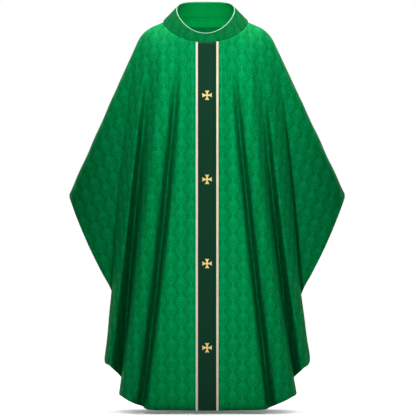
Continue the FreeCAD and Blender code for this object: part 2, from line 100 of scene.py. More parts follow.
# Fold lines: start on the top edge, then shares of reach and depth halfway down and at the hem,
# the hem's share of the drop, and the depth on the chest. They are the frame's lines with some
# valleys and ridges moved and ridge_1_rise added, so the cloth lies 3 to 4 mm off the frame on
# average, and up to 24 mm where a fold has moved.
RIGHT_FOLDS = (
    ("panel_middle", 0.30, 0.165, 0.87, 0.225, 0.95, 0.999, 0.68),
    ("panel_edge", 0.49, 0.262, 0.87, 0.414, 0.97, 0.997, 0.66),
    ("valley_1", 0.60, 0.304, 0.66, 0.454, 0.70, 0.993, 0.63),
    ("ridge_1_rise", 0.69, 0.340, 0.83, 0.500, 0.88, 0.985, 0.62),
    ("ridge_1", 0.80, 0.378, 0.88, 0.556, 0.93, 0.976, 0.61),
    ("neck_line", 1.00, 0.416, 0.83, 0.618, 0.82, 0.965, 0.56),
    ("fold_1_edge", 1.02, 0.446, 0.66, 0.646, 0.66, 0.958, 0.54),
    ("valley_2", 1.045, 0.480, 0.46, 0.618, 0.34, 0.925, 0.50),
    ("ridge_2", 1.086, 0.520, 0.62, 0.690, 0.62, 0.895, 0.42),
    ("fold_2_edge", 1.107, 0.552, 0.54, 0.742, 0.40, 0.876, 0.38),
    ("valley_3", 1.133, 0.610, 0.22, 0.672, 0.17, 0.722, 0.33),
)
LEFT_FOLDS = (
    ("panel_middle", 0.30, 0.172, 0.87, 0.235, 0.95, 0.999, 0.68),
    ("panel_edge", 0.49, 0.264, 0.88, 0.426, 0.98, 0.997, 0.66),
    ("valley_1", 0.60, 0.314, 0.64, 0.468, 0.70, 0.990, 0.62),
    ("ridge_1_rise", 0.69, 0.358, 0.83, 0.512, 0.86, 0.984, 0.62),
    ("ridge_1", 0.80, 0.402, 0.88, 0.560, 0.92, 0.976, 0.61),
    ("neck_line", 1.00, 0.438, 0.83, 0.612, 0.82, 0.965, 0.56),
    ("fold_1_edge", 1.02, 0.468, 0.66, 0.636, 0.64, 0.958, 0.54),
    ("valley_2", 1.045, 0.514, 0.42, 0.610, 0.28, 0.925, 0.50),
    ("ridge_2", 1.086, 0.558, 0.62, 0.702, 0.60, 0.887, 0.42),
    ("fold_2_edge", 1.107, 0.586, 0.52, 0.740, 0.40, 0.876, 0.38),
    ("valley_3", 1.133, 0.640, 0.22, 0.672, 0.17, 0.722, 0.33),
)
SLEEVE_LINES = ((0.03, 0.06), (0.22, 0.20), (0.48, 0.42), (0.74, 0.66), (0.91, 0.87), (1.0, 1.0))


def mix(a, b, share):
    return a + (b - a) * share


def smoothstep(low, high, value):
    t = np.clip((value - low) / (high - low), 0.0, 1.0)
    return t * t * (3 - 2 * t)


def unit(v):
    return v / np.maximum(np.linalg.norm(v, axis=-1, keepdims=True), 1e-12)


def cells(grid):
    """The four corners of every cell of a grid, in order round the cell."""
    return grid[:-1, :-1], grid[1:, :-1], grid[1:, 1:], grid[:-1, 1:]


def area_of(grid):
    """The area of a grid of points in space or, after unrolling, in the plane."""
    a, b, c, d = cells(np.pad(grid, ((0, 0), (0, 0), (0, 3 - grid.shape[-1]))))
    return float(np.linalg.norm(np.cross(c - a, d - b), axis=-1).sum() / 2)


def three_point(start, middle, end, t):
    return start * (2 * t - 1) * (t - 1) + middle * 4 * t * (1 - t) + end * t * (2 * t - 1)


# ---------------------------------------------------------------- the cloth's shape

def ring_point(angle, half_width, front, back, side_height):
    """A point on a neck ring. Angle 0 is the centre back and pi the centre front."""
    cosine = math.cos(angle)
    middle = (back[1] + front[1]) / 2
    height = middle + cosine * (back[1] - front[1]) / 2 + (side_height - middle) * math.sin(angle) ** 2
    depth = (back[0] if cosine > 0 else front[0]) * cosine
    return np.array((COLLAR_SHIFT - half_width * math.sin(angle), depth, height))


def neck_ring(angle):
    return ring_point(angle, NECK_HALF_WIDTH, NECK_FRONT, NECK_BACK, 0.0)


def rim_ring(angle):
    return ring_point(angle, RIM_HALF_WIDTH, RIM_FRONT, RIM_BACK, RIM_SIDE_HEIGHT)


def neck_edge(x, facing):
    sine = max(-1.0, min(1.0, (COLLAR_SHIFT - x) / NECK_HALF_WIDTH))
    angle = math.asin(sine)
    point = neck_ring(angle if facing > 0 else math.pi - angle)
    if abs(sine) > 0.999:
        point[1] += facing * SEAM_HALF_GAP
    return point


def shoulder_seam(share, side, facing):
    """The seam from the neck point (share 0) over the shoulder and down the arm (share 1)."""
    neck = np.array((side * NECK_HALF_WIDTH + COLLAR_SHIFT, 0, 0))
    corner = np.array((side * SHOULDER_CORNER[0] + COLLAR_SHIFT, 0, SHOULDER_CORNER[1]))
    cuff = np.array((side * SLEEVE_REACH, 0, -SLEEVE_DROP))
    first = np.linalg.norm(corner - neck)
    total = first + np.linalg.norm(cuff - corner)
    along = share * total
    upper, lower = unit(corner - neck), unit(cuff - corner)
    if along < first - SHOULDER_ROUND:
        point = neck + upper * along
    elif along > first + SHOULDER_ROUND:
        point = corner + (cuff - corner) * ((along - first) / (total - first))
    else:
        turn = (along - first + SHOULDER_ROUND) / (2 * SHOULDER_ROUND)
        start, end = corner - upper * SHOULDER_ROUND, corner + lower * SHOULDER_ROUND
        point = start * (1 - turn) ** 2 + corner * (2 * turn * (1 - turn)) + end * turn ** 2
    point[1] = facing * SEAM_HALF_GAP
    return point


def top_edge(start, side, facing):
    if start <= 1.0:
        return neck_edge(COLLAR_SHIFT + side * start * NECK_HALF_WIDTH, facing)
    return shoulder_seam(start - 1.0, side, facing)


def guide(top, middle, hem, chest_depth, fall, roundness, facing):
    """A line of the cloth from its top edge to its hem, as a function of t from 0 to 1."""
    def points(t):
        x = three_point(top[0], middle[0], hem[0], t)
        z = mix(top[2], hem[2], t)
        folded = three_point(chest_depth, middle[1], hem[1], t)
        envelope = mix(chest_depth, folded, smoothstep(*FOLDS_OPEN, t))
        rounding = np.minimum(1.0, (top[2] - z) / fall)
        share = (1 - (1 - rounding) ** 2) ** roundness
        return np.stack((x, mix(top[1], facing * envelope, share), z), axis=-1)

    return points


def fold_table(hand):
    return LEFT_FOLDS if hand > 0 else RIGHT_FOLDS


def body_sizes(facing):
    """The reach, the depth and the hem's rise, which are a little different on the back."""
    if facing > 0:
        return SLEEVE_REACH * BACK_WIDTH_SHARE, BODY_DEPTH * BACK_DEPTH_SHARE, BACK_HEM_RISE
    return SLEEVE_REACH, BODY_DEPTH, 0.0


def fold_guide(fold, side, facing):
    start, middle_x, middle_y, hem_x, hem_y, hem_drop, chest = fold[1:]
    wide, deep, rise = body_sizes(facing)
    past_neck = max(0.0, start - 1.0) / (fold_table(side * facing)[-1][1] - 1.0)
    roundness = mix(NECK_ROUNDNESS, SEAM_ROUNDNESS, min(1.0, ROUNDNESS_RATE * past_neck))
    middle = (side * wide * middle_x, deep * middle_y)
    hem = (side * wide * hem_x, deep * hem_y, rise - GARMENT_DROP * hem_drop)
    return guide(top_edge(start, side, facing), middle, hem, deep * chest, SHOULDER_FALL, roundness, facing)


def centre_guide(x, facing):
    """A straight line of the centre strip, under or beside the orphrey."""
    deep, rise = body_sizes(facing)[1:]
    crown = CENTRE_CROWN * (x / BAND_HALF_WIDTH) ** 2
    chest, middle, hem = (deep * share - crown for share in CENTRE_DEPTHS)
    return guide(neck_edge(x, facing), (x, middle), (x, hem, rise - GARMENT_DROP), chest,
                 SHOULDER_FALL, NECK_ROUNDNESS, facing)


def sleeve_guide(cuff_share, seam_share, last_start, side, facing):
    top = shoulder_seam(mix(last_start - 1.0, 1.0, seam_share), side, facing)
    bulge = CUFF_BULGE * math.sin(math.pi * cuff_share)
    hem_x = mix(CUFF_INNER[0], SLEEVE_REACH, cuff_share) + bulge
    hem_z = mix(CUFF_INNER[1], -SLEEVE_DROP - CUFF_CORNER_HEIGHT, cuff_share) - bulge / 2
    length = top[2] - hem_z
    fall = min(SLEEVE_FALL, SLEEVE_FALL_SHARE * length)
    depth = SLEEVE_HALF_DEPTH * fall / SLEEVE_FALL
    middle_x = (abs(top[0]) + hem_x) / 2 + SLEEVE_SWING * (1 - cuff_share)
    hem = (side * hem_x, depth * CUFF_DEPTH_SHARE, hem_z)
    return guide(top, (side * middle_x, depth), hem, depth, fall, SEAM_ROUNDNESS, facing)


def smooth_between(before, start, end, after, share):
    """Centripetal Catmull-Rom between the middle two of four lines, point by point."""
    knots = [np.zeros(start.shape[:-1] + (1,))]
    for a, b in ((before, start), (start, end), (end, after)):
        gap = np.sqrt(np.linalg.norm(b - a, axis=-1, keepdims=True) * 1000)
        knots.append(knots[-1] + np.maximum(gap, 0.05))
    at = mix(knots[1], knots[2], share)

    def between(a, b, low, high):
        return a + (b - a) * ((at - knots[low]) / (knots[high] - knots[low]))

    a1, a2, a3 = between(before, start, 0, 1), between(start, end, 1, 2), between(end, after, 2, 3)
    return between(between(a1, a2, 0, 2), between(a2, a3, 1, 3), 1, 2)


def half_columns(side, facing, samples):
    """One half's columns, from beside the strip out to the cuff, and the neck point's column."""
    folds = [list(fold) for fold in fold_table(side * facing)]
    strip_share = (STRIP_EDGE - side * COLLAR_SHIFT) / NECK_HALF_WIDTH
    folds[0][1] = mix(strip_share, folds[1][1], folds[0][1])
    guides = [centre_guide(side * x, facing) for x in (STRIP_EDGE - 0.010, STRIP_EDGE)]
    guides += [fold_guide(fold, side, facing) for fold in folds]
    starts = [0.0, strip_share] + [fold[1] for fold in folds]
    for cuff, seam in SLEEVE_LINES:
        guides.append(sleeve_guide(cuff, seam, folds[-1][1], side, facing))
        starts.append(mix(folds[-1][1], 2.0, seam))
    neck_index = 2 + [fold[0] for fold in folds].index("neck_line")
    columns = []
    neck_column = 0
    for index in range(1, len(guides) - 1):
        nearby = [guides[k] for k in (index - 1, index, index + 1, min(index + 2, len(guides) - 1))]
        if index == neck_index:
            neck_column = len(columns)
        for step in range(1 if index == 1 else 0, samples):
            share = step / samples
            top = top_edge(mix(starts[index], starts[index + 1], share), side, facing)
            columns.append(between_guides(nearby, share, top))
    columns.append(guides[-1])
    return columns, neck_column


def between_guides(nearby, share, top):
    start = smooth_between(*[g(np.zeros(1)) for g in nearby], share)[0]

    def points(t):
        fade = np.maximum(0.0, 1 - t / TOP_FADE) ** 2
        return smooth_between(*[g(t) for g in nearby], share) + (top - start) * fade[..., None]

    return points


def panel_columns(facing, samples, strip_step):
    """All columns from cuff to cuff, and the places of the two neck points among them."""
    left, left_neck = half_columns(-1, facing, samples)
    right, right_neck = half_columns(1, facing, samples)
    count = round(2 * STRIP_EDGE / strip_step)
    strip = [centre_guide(-STRIP_EDGE + i * strip_step, facing) for i in range(count + 1)]
    columns = left[::-1] + strip + right
    return columns, len(left) - 1 - left_neck, len(left) + len(strip) + right_neck


def share_at(column, distance, from_hem=False):
    """The share t at which a column is a given distance from its top edge or its hem."""
    t = np.linspace(0, 1, CURVE_SAMPLES)
    points = column(t)
    anchor = points[-1] if from_hem else points[0]
    reach = np.linalg.norm(points - anchor, axis=1)
    order = slice(None, None, -1) if from_hem else slice(None)
    return float(np.interp(distance, reach[order], t[order]))


def wrinkles(points, facing):
    """How far soft wrinkles lift the cloth off its plain shape, in metres."""
    x, z = points[..., 0], points[..., 2]
    flat = points.reshape(-1, 3)
    coarse = np.array([noise.noise(Vector((p[0] * 9, p[1] * 9 + facing, p[2] * 3.2))) for p in flat])
    fine = np.array([noise.noise(Vector((p[0] * 42, p[1] * 30, p[2] * 13 + facing))) for p in flat])
    away = smoothstep(BAND_HALF_WIDTH * 1.3, 0.10, np.abs(x))
    fallen = smoothstep(0.05, 0.25, -z)
    lift = coarse.reshape(x.shape) * COARSE_WRINKLE * away * fallen
    lift += fine.reshape(x.shape) * FINE_WRINKLE * away
    sleeve = smoothstep(0.26, 0.34, np.abs(x)) * smoothstep(0.16, 0.34, -z)
    drag = np.sin((np.abs(x) * 0.50 - z * 0.22) * 2 * math.pi / DRAG_PITCH)
    return (lift + drag * SLEEVE_DRAG * sleeve) * smoothstep(0.0, 0.02, -z + 0.02)


def surface_normals(grid, outward):
    across = np.gradient(grid, axis=0)
    down = np.gradient(grid, axis=1)
    normals = unit(np.cross(across, down))
    middle = normals[grid.shape[0] // 2, grid.shape[1] // 2]
    return normals if np.dot(middle, outward) > 0 else -normals


# ---------------------------------------------------------------- meshes

def link(name, data):
    """A scene object for a mesh, a lamp or a camera."""
    made = bpy.data.objects.new(name, data)
    bpy.context.scene.collection.objects.link(made)
    return made


def mesh_piece(name, vertices, faces, uv, kinds=None):
    """A smooth mesh object with a UV for each vertex and, where kinds says so, two materials."""
    mesh = bpy.data.meshes.new(name)
    mesh.from_pydata(vertices.tolist(), [], faces)
    corners = np.zeros(len(mesh.loops), dtype=np.int32)
    mesh.loops.foreach_get("vertex_index", corners)
    mesh.uv_layers.new(name="cut").data.foreach_set("uv", uv[corners].astype(np.float32).ravel())
    mesh.polygons.foreach_set("use_smooth", [True] * len(mesh.polygons))
    if kinds is not None:
        mesh.polygons.foreach_set("material_index", kinds)
    mesh.update()
    return link(name, mesh)


def sheet_mesh(name, grid, normals, low, high, uv):
    """A closed thin mesh between two offsets of a grid, with rounded rims and flat-cut UVs."""
    wide, tall = grid.shape[:2]
    low, high = (np.broadcast_to(d, (wide, tall))[..., None] for d in (low, high))
    outer, inner = grid + normals * high, grid + normals * low
    rims = [[(i, 0) for i in range(wide)], [(wide - 1, j) for j in range(tall)],
            [(i, tall - 1) for i in range(wide - 1, -1, -1)], [(0, j) for j in range(tall - 1, -1, -1)]]
    loop = [key for rim in rims for key in rim[:-1]]
    rim_points = []
    for i, j in loop:
        back = np.zeros(3)
        if j in (0, tall - 1):
            back += unit(grid[i, j] - grid[i, 1 if j == 0 else tall - 2])
        if i in (0, wide - 1):
            back += unit(grid[i, j] - grid[1 if i == 0 else wide - 2, j])
        swell = (high - low)[i, j] / 2 if j else SEAM_HALF_GAP / 2
        rim_points.append((outer[i, j] + inner[i, j]) / 2 + unit(back) * swell)
    vertices = np.concatenate((outer.reshape(-1, 3), inner.reshape(-1, 3), np.array(rim_points)))
    count = wide * tall
    index = np.arange(count).reshape(wide, tall)
    top_quads = np.stack(cells(index), axis=-1).reshape(-1, 4)
    side_a, side_b = [], []
    for k, (i, j) in enumerate(loop):
        i2, j2 = loop[(k + 1) % len(loop)]
        r1, r2 = 2 * count + k, 2 * count + (k + 1) % len(loop)
        side_a.append((index[i, j], r1, r2, index[i2, j2]))
        side_b.append((r1, index[i, j] + count, index[i2, j2] + count, r2))
    quads = np.concatenate((top_quads, top_quads[:, ::-1] + count, side_a, side_b)).astype(np.int32)
    corner = vertices[top_quads[0]]
    if np.dot(np.cross(corner[1] - corner[0], corner[2] - corner[0]), normals[0, 0]) <= 0:
        quads = quads[:, ::-1]
    flat_uv = uv.reshape(-1, 2)
    loop_uv = np.array([uv[i, j] for i, j in loop])
    sides = np.zeros(len(quads), dtype=np.int32)
    sides[len(top_quads):2 * len(top_quads)] = 1
    return mesh_piece(name, vertices, quads.tolist(), np.concatenate((flat_uv, flat_uv, loop_uv)), sides)


def lengths_uv(grid):
    """UVs in metres from the distances along a grid's rows and columns, from its middle column."""
    across = np.linalg.norm(np.diff(grid, axis=0), axis=-1)
    down = np.linalg.norm(np.diff(grid, axis=1), axis=-1)
    u = np.concatenate((np.zeros((1, grid.shape[1])), np.cumsum(across, axis=0)))
    v = np.concatenate((np.zeros((grid.shape[0], 1)), np.cumsum(down, axis=1)), axis=1)
    middle = grid.shape[0] // 2
    return np.stack((u - u[middle:middle + 1], -v), axis=-1)


def beside(p, q, from_p, from_q):
    """The point at given distances from two points, on the left of the way from p to q."""
    span = max(np.linalg.norm(q - p), 1e-9)
    along = (from_p ** 2 - from_q ** 2 + span ** 2) / (2 * span)
    off = math.sqrt(max(from_p ** 2 - along ** 2, 0.0))
    way = (q - p) / span
    return p + way * along + np.array((-way[1], way[0])) * off


def ladder(near, far):
    """Two neighbouring columns laid flat, rung by rung, the far one to the right."""
    def gap(a, b):
        return float(np.linalg.norm(a - b))

    flat_near, flat_far = [np.zeros(2)], [np.array((gap(near[0], far[0]), 0.0))]
    for j in range(1, len(near)):
        to_near = gap(far[j - 1], near[j]), gap(near[j - 1], near[j])
        flat_near.append(beside(flat_far[-1], flat_near[-1], *to_near))
        to_far = gap(far[j - 1], far[j]), gap(near[j], far[j])
        flat_far.append(beside(flat_far[-1], flat_near[-1], *to_far))
    return np.array(flat_near), np.array(flat_far)


def unroll(grid, middle, rounds=600, pull=1.6):
    """Lays a curved grid flat with its edge lengths kept, so that a weave follows the cut cloth."""
    flat = np.zeros(grid.shape[:2] + (2,))
    steps = np.linalg.norm(np.diff(grid[middle], axis=0), axis=-1)
    flat[middle, 1:, 1] = -np.cumsum(steps)
    for hand, stop in ((1, len(grid)), (-1, -1)):
        for i in range(middle + hand, stop, hand):
            near, far = ladder(grid[i - hand], grid[i])
            mirror = np.array((hand, 1.0))
            near, far, placed = near * mirror, far * mirror, flat[i - hand]
            offset = near.mean(axis=0)
            a, b = near - offset, placed - placed.mean(axis=0)
            turn = math.atan2((a[:, 0] * b[:, 1] - a[:, 1] * b[:, 0]).sum(), (a * b).sum())
            c, s = math.cos(turn), math.sin(turn)
            flat[i] = (far - offset) @ np.array(((c, s), (-s, c))) + placed.mean(axis=0)
    pairs = []
    for di, dj in ((1, 0), (0, 1), (1, 1), (1, -1)):
        first = (slice(0, grid.shape[0] - di), slice(max(0, -dj), grid.shape[1] - max(0, dj)))
        second = (slice(di, grid.shape[0]), slice(max(0, dj), grid.shape[1] + min(0, dj)))
        rest = np.linalg.norm(grid[second] - grid[first], axis=-1, keepdims=True)
        pairs.append((first, second, rest))
    weight = np.zeros(grid.shape[:2] + (1,))
    for first, second, rest in pairs:
        weight[first] += 1
        weight[second] += 1
    for _ in range(rounds):
        shift = np.zeros_like(flat)
        for first, second, rest in pairs:
            gap = flat[second] - flat[first]
            length = np.maximum(np.linalg.norm(gap, axis=-1, keepdims=True), 1e-9)
            move = gap * (0.5 * (length - rest) / length)
            shift[first] += move
            shift[second] -= move
        flat += shift / weight * pull
        flat[middle, :, 0] = 0.0
    return flat


# ---------------------------------------------------------------- node expressions

class Nodes:
    """The node tree of a material or a world, with short calls for the maths of a pattern."""

    def __init__(self, owner):
        self.owner = owner
        owner.use_nodes = True
        self.tree = owner.node_tree
        self.shader = self.tree.nodes.get("Principled BSDF")

    def node(self, kind, **settings):
        made = self.tree.nodes.new(kind)
        for key, value in settings.items():
            setattr(made, key, value)
        return made

    def feed(self, socket, value):
        if isinstance(value, bpy.types.NodeSocket):
            self.tree.links.new(value, socket)
        else:
            socket.default_value = value

    def math(self, operation, *values):
        made = self.node("ShaderNodeMath", operation=operation)
        for socket, value in zip(made.inputs, values):
            self.feed(socket, value)
        return made.outputs[0]

    def add(self, a, b):
        return self.math("ADD", a, b)

    def sub(self, a, b):
        return self.math("SUBTRACT", a, b)

    def mul(self, a, b):
        return self.math("MULTIPLY", a, b)

    def inverse(self, value):
        return self.sub(1.0, value)

    def size(self, value):
        return self.math("ABSOLUTE", value)

    def wave(self, value, pitch):
        return self.math("SINE", self.mul(value, 2 * math.pi / pitch))

    def high(self, *values):
        return reduce(partial(self.math, "MAXIMUM"), values)

    def low(self, *values):
        return reduce(partial(self.math, "MINIMUM"), values)

    def ramp(self, value, start, end):
        """0 at start and 1 at end, smoothly; start may be the larger."""
        made = self.node("ShaderNodeMapRange", interpolation_type="SMOOTHSTEP")
        self.feed(made.inputs["Value"], value)
        limits = (start, end, 0.0, 1.0) if start < end else (end, start, 1.0, 0.0)
        for key, limit in zip(("From Min", "From Max", "To Min", "To Max"), limits):
            made.inputs[key].default_value = limit
        return made.outputs[0]

    def uv(self):
        split = self.node("ShaderNodeSeparateXYZ")
        self.feed(split.inputs[0], self.node("ShaderNodeUVMap", uv_map="cut").outputs[0])
        return split.outputs[0], split.outputs[1]

    def vector(self, x, y):
        made = self.node("ShaderNodeCombineXYZ")
        for socket, value in zip(made.inputs, (x, y)):
            self.feed(socket, value)
        return made.outputs[0]

    def noise(self, vector, scale, detail=2.0):
        made = self.node("ShaderNodeTexNoise")
        self.feed(made.inputs["Vector"], vector)
        made.inputs["Scale"].default_value = scale
        made.inputs["Detail"].default_value = detail
        return made.outputs[0]

    def openness(self, distance, samples):
        """How open a place is: 1 on a free surface, and less in folds and beside other things."""
        made = self.node("ShaderNodeAmbientOcclusion", samples=samples)
        made.inputs["Distance"].default_value = distance
        return made.outputs["AO"]

    def backdrop_rays(self):
        """1 for the rays that see the white background: from the camera, and by gloss or transmission."""
        path = self.node("ShaderNodeLightPath").outputs
        return self.high(path["Is Camera Ray"], path["Is Glossy Ray"], path["Is Transmission Ray"])

    def colours(self, share, first, second):
        made = self.node("ShaderNodeMix", data_type="RGBA")
        self.feed(made.inputs[0], share)
        self.feed(made.inputs[6], first)
        self.feed(made.inputs[7], second)
        return made.outputs[2]

    def bump(self, height, distance, strength, normal=None):
        made = self.node("ShaderNodeBump")
        made.inputs["Strength"].default_value = strength
        made.inputs["Distance"].default_value = distance
        self.feed(made.inputs["Height"], height)
        if normal is not None:
            self.feed(made.inputs["Normal"], normal)
        return made.outputs[0]

    def finish(self, colour, roughness, normal=None, **fixed):
        """Feeds the shader's inputs. The rest are named as the shader names them, in small letters."""
        self.feed(self.shader.inputs["Base Color"], colour)
        self.feed(self.shader.inputs["Roughness"], roughness)
        if normal is not None:
            self.feed(self.shader.inputs["Normal"], normal)
        for key, value in fixed.items():
            self.shader.inputs[key.replace("_", " ").title().replace("Ior", "IOR")].default_value = value
        return self.owner


def new_material(name):
    return Nodes(bpy.data.materials.new(name))


def srgb(red, green, blue):
    """A colour written as it shows on screen, 0 to 255, in the linear values that shaders use."""
    def linear(c):
        c /= 255
        return c / 12.92 if c <= 0.04045 else ((c + 0.055) / 1.055) ** 2.4

    return (linear(red), linear(green), linear(blue), 1.0)


# ---------------------------------------------------------------- materials

SHEEN_GREEN = (0.03, 0.75, 0.35, 1.0)
# The green of the painted shade in deep folds.
PAINTED_SHADE_GREEN = (0.0, 0.016, 0.007, 1.0)
FIGURE_PITCH = 0.066         # width of the cell in which the damask's figure is drawn
FIGURE_DROP = 0.110          # height of that cell
FIGURE_SHRINK = 1.9          # the figure is woven this much smaller than it is drawn
FOLD_REACH = 0.08            # how far a deep fold looks for cloth that shades it
WEFT_PITCH = 0.00095
WARP_PITCH = 0.0006


def damask_figure(n, u, v):
    """The mask of a formal damask: ogee stems with a mirrored palmette in each, in half drop.

    The shapes are in millimetres from the middle of the cell.
    """
    column = n.math("FLOOR", n.math("DIVIDE", u, FIGURE_PITCH))
    across = n.sub(n.sub(n.math("DIVIDE", u, FIGURE_PITCH), column), 0.5)
    odd = n.math("MODULO", n.size(column), 2.0)
    along = n.add(n.math("DIVIDE", v, FIGURE_DROP), n.mul(odd, 0.5))
    y = n.mul(n.sub(n.sub(along, n.math("FLOOR", along)), 0.5), FIGURE_DROP * 1000)
    x = n.mul(n.size(across), FIGURE_PITCH * 1000)

    def distance(cx, cy, tall):
        dx, dy = n.sub(x, cx), n.mul(n.sub(y, cy), 1 / tall)
        return n.math("SQRT", n.add(n.mul(dx, dx), n.mul(dy, dy)))

    def disc(cx, cy, r, tall=1.0):
        return n.ramp(distance(cx, cy, tall), r + 0.5, r - 0.5)

    def ring(cx, cy, r, width, tall=1.0):
        off = n.size(n.sub(distance(cx, cy, tall), r))
        return n.ramp(off, width / 2 + 0.45, width / 2 - 0.45)

    def leaf(cx, cy, length, width, lean):
        """A pointed leaf: two arcs that meet at both ends."""
        turn = math.radians(lean)
        dx, dy = n.sub(x, cx), n.sub(y, cy)
        along_leaf = n.add(n.mul(dx, math.sin(turn)), n.mul(dy, math.cos(turn)))
        off = n.size(n.sub(n.mul(dx, math.cos(turn)), n.mul(dy, math.sin(turn))))
        share = n.mul(along_leaf, 2 / length)
        half = n.mul(n.inverse(n.mul(share, share)), width / 2)
        return n.ramp(n.sub(off, half), 0.45, -0.45)

    wave = n.add(16.5, n.mul(n.math("COSINE", n.mul(y, 2 * math.pi / (FIGURE_DROP * 1000))), 12.5))
    stem = n.size(n.sub(x, wave))
    figure = n.high(
        disc(7.2, 15.0, 8.0, tall=2.3),
        leaf(0.0, 38.0, 30.0, 13.0, 0.0),
        leaf(12.0, 27.0, 24.0, 8.0, 24.0),
        ring(0.0, -14.0, 6.4, 3.0),
        disc(9.6, -10.0, 2.9),
        disc(10.2, -18.4, 2.9),
        disc(4.2, -24.4, 2.8),
        disc(15.6, -13.0, 1.8),
        disc(15.4, -22.0, 1.7),
        disc(9.4, -28.6, 1.8),
        disc(0.0, -32.0, 2.0),
        leaf(5.5, -39.0, 17.0, 5.6, 150.0),
        leaf(0.0, -46.0, 16.0, 7.0, 0.0),
        ring(20.5, -31.0, 4.4, 2.2),
        ring(24.5, 8.0, 3.6, 2.0),
        leaf(22.0, 20.0, 18.0, 6.0, 14.0),
        leaf(21.0, -6.0, 15.0, 5.0, -30.0),
        disc(28.5, -4.0, 1.8),
        disc(28.0, 30.0, 2.0),
        n.low(n.ramp(stem, 2.2, 1.4), n.ramp(stem, 0.2, 0.8)),
    )
    slit = n.ramp(n.add(x, n.mul(n.sub(y, 14.0), 0.11)), 1.5, 0.6)
    holes = n.high(
        n.low(slit, n.ramp(n.size(n.sub(y, 6.0)), 15.0, 12.0)),
        leaf(0.0, 38.0, 17.0, 3.6, 0.0),
        leaf(12.4, 27.0, 15.0, 1.8, 24.0),
        ring(7.4, 13.0, 4.6, 0.9, tall=2.4),
        disc(9.6, -10.0, 0.9),
        disc(10.2, -18.4, 0.9),
        leaf(22.0, 20.0, 11.0, 1.4, 14.0),
    )
    return n.low(figure, n.inverse(holes))


def damask(name, ground, figure, raised=1.0, flip=False, fold_shade=0.52):
    """Figured damask: satin figures on a matt ribbed ground, woven in one colour. The figures' lighter,
    mintier colour is partly the woven figure and partly painted satin sheen, and deep folds get painted
    shade.
    """
    n = new_material(name)
    u, v = n.uv()
    mask = damask_figure(n, n.mul(u, FIGURE_SHRINK), n.mul(v, FIGURE_SHRINK))
    if flip:
        mask = n.inverse(mask)
    place = n.vector(u, v)
    cloud = n.noise(place, 7.0, 3.0)
    slub = n.noise(n.vector(n.mul(u, 0.18), v), 420.0, 2.0)
    seeds = n.ramp(n.noise(place, 210.0, 1.0), 0.50, 0.62)
    base = n.colours(mask, ground, figure)
    dark = n.colours(n.mul(n.inverse(cloud), 0.25), base, [c * 0.5 for c in ground[:3]] + [1.0])
    tone = n.colours(n.mul(n.ramp(slub, 0.55, 0.75), 0.18), dark, figure)
    tone = n.colours(n.mul(n.mul(seeds, n.inverse(mask)), 0.45), tone, figure)
    weft = n.wave(v, WEFT_PITCH)
    warp = n.wave(u, WARP_PITCH)
    thread = n.add(n.mul(n.mul(weft, n.inverse(mask)), 0.6), n.mul(n.mul(warp, mask), 0.28))
    lifted = n.bump(mask, 0.00022 * raised, 0.8)
    normal = n.bump(n.add(thread, n.mul(n.noise(place, 900.0, 1.0), 0.7)), 0.00009, 0.55, lifted)
    # Painted shade: the colour is darkened towards a deep green where the cloth lies deep in a fold or close
    # to other cloth.
    deep = n.ramp(n.openness(FOLD_REACH, 8), 0.93, 0.40)
    tone = n.colours(n.mul(deep, fold_shade), tone, PAINTED_SHADE_GREEN)
    roughness = n.sub(0.64, n.mul(mask, 0.12))
    return n.finish(tone, roughness, normal, metallic=0.12, specular_ior_level=0.05,
                    specular_tint=SHEEN_GREEN, sheen_weight=0.0)


def ribbed_band():
    n = new_material("band_cloth")
    u, v = n.uv()
    rib = n.wave(u, 0.0021)
    pick = n.wave(v, 0.0011)
    place = n.vector(u, n.mul(v, 0.5))
    cloud = n.noise(place, 30.0, 3.0)
    colour = n.colours(n.mul(n.ramp(rib, -0.6, 0.9), 0.6), srgb(2, 46, 29), srgb(8, 66, 42))
    colour = n.colours(n.mul(cloud, 0.5), colour, srgb(5, 47, 29))
    normal = n.bump(n.add(rib, n.mul(pick, 0.35)), 0.00016, 0.7)
    return n.finish(colour, 0.85, normal, specular_ior_level=0.15)


def braid():
    n = new_material("galloon_braid")
    u, v = n.uv()
    left = n.wave(n.add(u, n.mul(v, 0.9)), 0.0013)
    right = n.wave(n.sub(u, n.mul(v, 0.9)), 0.0013)
    plait = n.high(left, right)
    thread = n.noise(n.vector(u, n.mul(v, 0.4)), 1500.0, 2.0)
    edge = n.ramp(n.size(u), 0.0022, 0.0030)
    colour = n.colours(n.ramp(plait, -0.2, 0.9), srgb(204, 180, 156), srgb(250, 236, 224))
    colour = n.colours(n.mul(edge, 0.6), colour, srgb(224, 196, 158))
    colour = n.colours(n.mul(n.ramp(thread, 0.45, 0.7), 0.25), colour, srgb(255, 236, 214))
    normal = n.bump(n.add(plait, n.mul(thread, 0.5)), 0.00018, 0.8)
    return n.finish(colour, 0.5, normal, sheen_weight=0.1, specular_ior_level=0.5)


def gold_thread(name, dark, light):
    n = new_material(name)
    u, v = n.uv()
    twist = n.wave(n.add(n.mul(u, 0.35), v), 0.00042)
    fray = n.noise(n.vector(u, v), 2200.0, 2.0)
    colour = n.colours(n.ramp(twist, -0.8, 0.8), dark, light)
    colour = n.colours(n.mul(fray, 0.3), colour, srgb(255, 232, 160))
    normal = n.bump(n.add(twist, fray), 0.00007, 0.6)
    return n.finish(colour, 0.36, normal, metallic=0.35, specular_ior_level=0.6)


def piping_satin():
    n = new_material("piping_satin")
    u, v = n.uv()
    bias = n.wave(n.add(u, v), 0.0008)
    pucker = n.noise(n.vector(u, n.mul(v, 0.2)), 260.0, 2.0)
    colour = n.colours(n.ramp(pucker, 0.35, 0.7), srgb(120, 190, 150), srgb(178, 226, 196))
    normal = n.bump(n.add(n.mul(bias, 0.4), pucker), 0.00016, 0.6)
    return n.finish(colour, 0.42, normal, sheen_weight=0.1)


